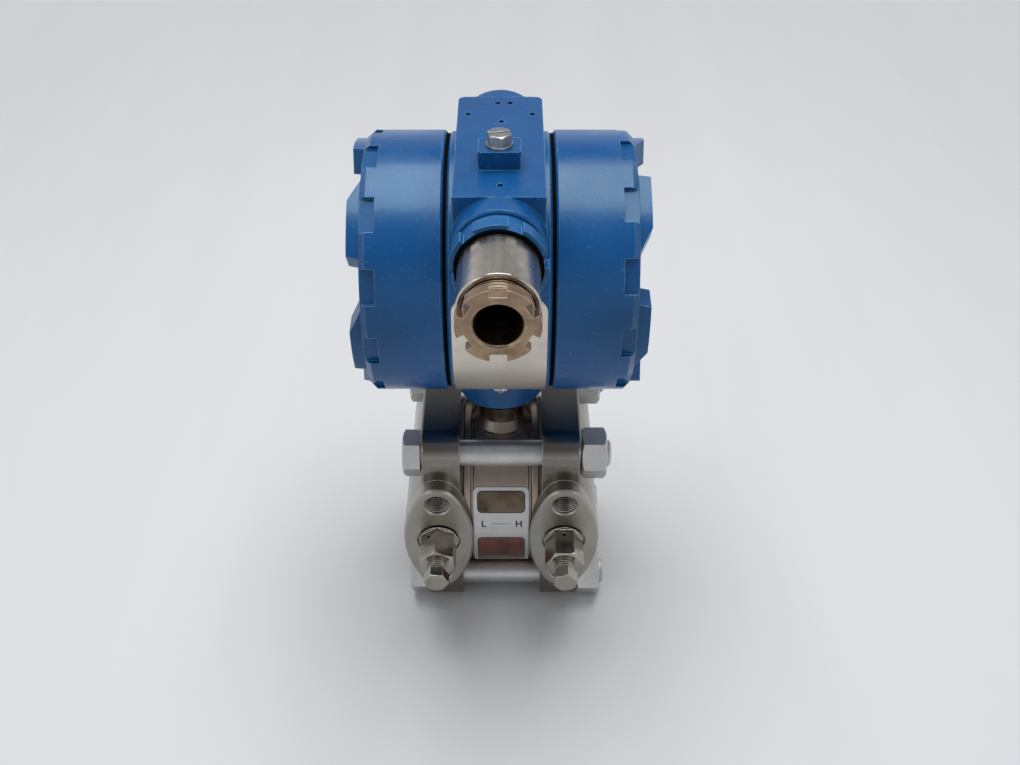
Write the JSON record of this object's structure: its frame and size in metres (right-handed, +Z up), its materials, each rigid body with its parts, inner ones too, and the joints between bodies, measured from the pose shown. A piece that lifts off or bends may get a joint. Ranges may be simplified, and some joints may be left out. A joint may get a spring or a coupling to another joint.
{
  "type": "differential pressure transmitter",
  "caption": "Field pressure transmitter: blue housing with screw-on side covers and a cable gland, on a sensor clamped between two ported steel flanges with drain valves.",
  "frame": {"origin": "centre of the rear process connection, on its face", "axes": "+Y out of the rear process ports, +Z up the neck, +X to the high-pressure side"},
  "size_m": [0.1102, 0.1425, 0.229],
  "materials": {
    "blue_paint": "gloss enamel",
    "stainless": "machined and polished",
    "module_steel": "turned",
    "zinc_steel": "dull zinc plate",
    "nickel": "worn nickel plate",
    "bronze": "worn nickel over brass",
    "plate_steel": "satin",
    "label_silver": "satin foil",
    "black_rubber": "matt",
    "seal_white": "matt",
    "board_green": "lacquered",
    "block_black": "moulded",
    "brass": "plain",
    "glass_header": "glass to metal seal"
  },
  "bodies": {
    "sensor": {"sensor_module": "module_steel", "sensor_header": "glass_header", "diaphragm_low": "stainless", "diaphragm_high": "stainless", "module_label": "label_silver", "flange_low": "stainless", "flange_high": "stainless", "flange_seal_low": "seal_white", "flange_seal_high": "seal_white", "flange_bolts": "zinc_steel", "flange_nuts": "zinc_steel", "drain_body_low": "stainless", "drain_body_high": "stainless"},
    "housing": {"electronics_housing": "blue_paint", "neck_seal": "black_rubber", "nameplate": "plate_steel", "nameplate_screws": "zinc_steel", "amplifier_board": "board_green", "calibration_board": "board_green", "board_spacers": "brass", "board_screws": "zinc_steel", "terminal_block": "block_black", "terminal_screws": "zinc_steel", "terminal_clamps": "zinc_steel", "feedthrough_pins": "brass", "inside_ground_screw": "zinc_steel", "gland_lock_ring": "blue_paint", "gland_body": "nickel", "gland_seal": "black_rubber"},
    "circuit_seal": {"circuit_cover_seal": "black_rubber"},
    "circuit_cap": {"circuit_cover": "blue_paint"},
    "terminal_seal": {"terminal_cover_seal": "black_rubber"},
    "terminal_cap": {"terminal_cover": "blue_paint"},
    "clamp_washer": {"gland_washer": "brass"},
    "clamp_ring": {"gland_clamp_ring": "bronze"},
    "low_ball": {"drain_ball_low": "stainless"},
    "low_stem": {"drain_stem_low": "stainless"},
    "high_ball": {"drain_ball_high": "stainless"},
    "high_stem": {"drain_stem_high": "stainless"},
    "earth_washer": {"ground_washer": "zinc_steel"},
    "earth_screw": {"ground_screw": "zinc_steel"},
    "zero_adjuster": {"zero_screw": "stainless"},
    "span_adjuster": {"span_screw": "stainless"}
  },
  "joints": [
    {"name": "housing_swivel", "type": "hinge", "parent": "sensor", "child": "housing", "pos_m": [0, -0.0405, 0.05], "axis": [0, 0, 1], "range_deg": [-90, 90]},
    {"name": "circuit_cover_lift", "type": "slide", "parent": "housing", "child": "circuit_seal", "axis": [-1, 0, 0], "range_m": [0, 0.0143]},
    {"name": "circuit_cover_turn", "type": "hinge", "parent": "circuit_seal", "child": "circuit_cap", "pos_m": [-0.0205, -0.0405, 0.1174], "axis": [-1, 0, 0], "range_deg": [0, 3240]},
    {"name": "terminal_cover_lift", "type": "slide", "parent": "housing", "child": "terminal_seal", "axis": [1, 0, 0], "range_m": [0, 0.0143]},
    {"name": "terminal_cover_turn", "type": "hinge", "parent": "terminal_seal", "child": "terminal_cap", "pos_m": [0.0205, -0.0405, 0.1174], "axis": [1, 0, 0], "range_deg": [0, 3240]},
    {"name": "gland_clamp_lift", "type": "slide", "parent": "housing", "child": "clamp_washer", "axis": [0, -1, 0], "range_m": [0, 0.00601]},
    {"name": "gland_clamp_turn", "type": "hinge", "parent": "clamp_washer", "child": "clamp_ring", "pos_m": [0, -0.123, 0.152], "axis": [0, -1, 0], "range_deg": [0, 1440]},
    {"name": "low_drain_lift", "type": "slide", "parent": "sensor", "child": "low_ball", "axis": [0, -1, 0], "range_m": [0, 0.00187]},
    {"name": "low_drain_turn", "type": "hinge", "parent": "low_ball", "child": "low_stem", "pos_m": [-0.027, -0.089, 0], "axis": [0, -1, 0], "range_deg": [0, 541]},
    {"name": "high_drain_lift", "type": "slide", "parent": "sensor", "child": "high_ball", "axis": [0, -1, 0], "range_m": [0, 0.00187]},
    {"name": "high_drain_turn", "type": "hinge", "parent": "high_ball", "child": "high_stem", "pos_m": [0.027, -0.089, 0], "axis": [0, -1, 0], "range_deg": [0, 541]},
    {"name": "ground_screw_lift", "type": "slide", "parent": "housing", "child": "earth_washer", "axis": [0, 0, 1], "range_m": [0, 0.0049]},
    {"name": "ground_screw_turn", "type": "hinge", "parent": "earth_washer", "child": "earth_screw", "pos_m": [0, -0.0549, 0.1761], "axis": [0, 0, 1], "range_deg": [0, 2521]},
    {"name": "zero_adjust", "type": "hinge", "parent": "housing", "child": "zero_adjuster", "pos_m": [-0.008, -0.08533, 0.11348], "axis": [0, -0.9962, -0.0872], "range_deg": [-1800, 1800]},
    {"name": "span_adjust", "type": "hinge", "parent": "housing", "child": "span_adjuster", "pos_m": [-0.008, -0.07947, 0.0949], "axis": [0, -0.866, -0.5], "range_deg": [-1800, 1800]}
  ],
  "couplings": [
    {"joint": "circuit_cover_lift", "follows": "circuit_cover_turn", "m_per_rad": 0.00025266},
    {"joint": "terminal_cover_lift", "follows": "terminal_cover_turn", "m_per_rad": 0.00025266},
    {"joint": "gland_clamp_lift", "follows": "gland_clamp_turn", "m_per_rad": 0.00023873},
    {"joint": "low_drain_turn", "follows": "low_drain_lift", "rad_per_m": 5026.5},
    {"joint": "high_drain_turn", "follows": "high_drain_lift", "rad_per_m": 5026.5},
    {"joint": "ground_screw_turn", "follows": "ground_screw_lift", "rad_per_m": 8976}
  ]
}
